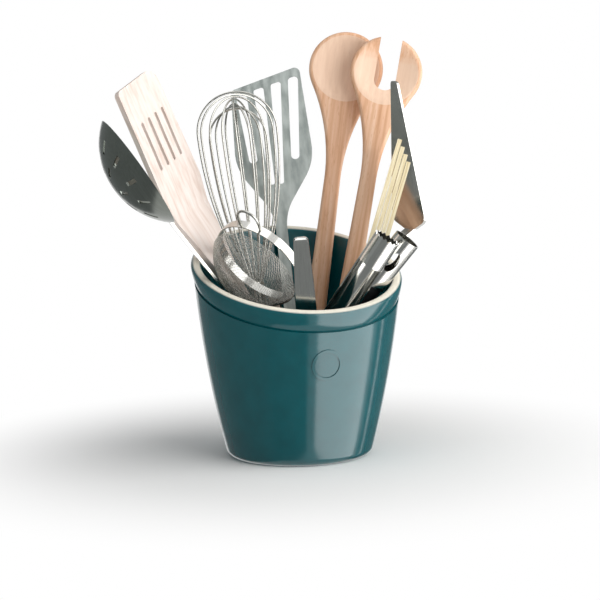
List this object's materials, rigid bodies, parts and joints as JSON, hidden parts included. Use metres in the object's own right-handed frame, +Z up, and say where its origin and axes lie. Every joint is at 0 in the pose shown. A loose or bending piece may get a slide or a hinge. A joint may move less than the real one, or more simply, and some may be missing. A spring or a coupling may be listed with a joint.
{
  "type": "utensil crock with kitchen tools",
  "caption": "Tapered glazed utensil crock with a slanted rim, holding wooden, steel and bamboo kitchen tools that each lift out.",
  "frame": {"origin": "centre of the crock's flat base, on the surface it stands on", "axes": "+Z up the crock's axis, -Y towards the low front of the rim, +X to the right"},
  "size_m": [0.2804, 0.1811, 0.3289],
  "materials": {
    "glaze": "glossy teal glaze",
    "beech": "sanded beech",
    "pale_beech": "sanded pale beech",
    "steel": "polished",
    "wire": "drawn wire",
    "cast_alloy": "worn satin",
    "black_grip": "moulded",
    "bamboo": "split bamboo"
  },
  "bodies": {
    "crock": {"crock": "glaze"},
    "spoon": {"wooden_spoon": "beech"},
    "fork": {"wooden_fork": "beech"},
    "turner": {"slotted_turner": "cast_alloy"},
    "spatula": {"slotted_spatula": "pale_beech"},
    "whisk": {"whisk_handle": "steel", "whisk_plug": "black_grip", "whisk_wires": "wire"},
    "strainer": {"strainer_band": "steel", "strainer_mesh": "wire", "strainer_handle": "steel", "strainer_hook": "wire"},
    "skimmer": {"skimmer_handle": "steel", "skimmer_bowl": "steel"},
    "tongs": {"steel_tongs": "steel"},
    "server": {"cake_server": "steel"},
    "skewers": {"bamboo_skewers": "bamboo"},
    "corer": {"corer_handle": "black_grip", "corer_tube": "steel"},
    "parer": {"parer_blade": "steel", "parer_handle": "black_grip", "parer_sleeve": "steel"}
  },
  "joints": [
    {"name": "spoon_lift", "type": "slide", "parent": "crock", "child": "spoon", "axis": [0.1874, 0.1181, 0.9751], "range_m": [0, 0.17]},
    {"name": "fork_lift", "type": "slide", "parent": "crock", "child": "fork", "axis": [0.2466, 0.1551, 0.9566], "range_m": [0, 0.105]},
    {"name": "turner_lift", "type": "slide", "parent": "crock", "child": "turner", "axis": [-0.0328, 0.1755, 0.9839], "range_m": [0, 0.175]},
    {"name": "spatula_lift", "type": "slide", "parent": "crock", "child": "spatula", "axis": [-0.4851, 0.0336, 0.8738], "range_m": [0, 0.18]},
    {"name": "whisk_lift", "type": "slide", "parent": "crock", "child": "whisk", "axis": [-0.0923, 0.0451, 0.9947], "range_m": [0, 0.17]},
    {"name": "strainer_lift", "type": "slide", "parent": "crock", "child": "strainer", "axis": [-0.4213, -0.3971, 0.8154], "range_m": [0, 0.09]},
    {"name": "skimmer_lift", "type": "slide", "parent": "crock", "child": "skimmer", "axis": [-0.6129, -0.2022, 0.7638], "range_m": [0, 0.19]},
    {"name": "tongs_lift", "type": "slide", "parent": "crock", "child": "tongs", "axis": [-0.1126, -0.1572, 0.9811], "range_m": [0, 0.13]},
    {"name": "server_lift", "type": "slide", "parent": "crock", "child": "server", "axis": [0.3, 0.1002, 0.9487], "range_m": [0, 0.165]},
    {"name": "skewers_lift", "type": "slide", "parent": "crock", "child": "skewers", "axis": [0.312, -0.0014, 0.9501], "range_m": [0, 0.165]},
    {"name": "corer_lift", "type": "slide", "parent": "crock", "child": "corer", "axis": [0.4816, -0.2922, 0.8262], "range_m": [0, 0.165]},
    {"name": "parer_lift", "type": "slide", "parent": "crock", "child": "parer", "axis": [0.5569, -0.3009, 0.7742], "range_m": [0, 0.175]}
  ]
}
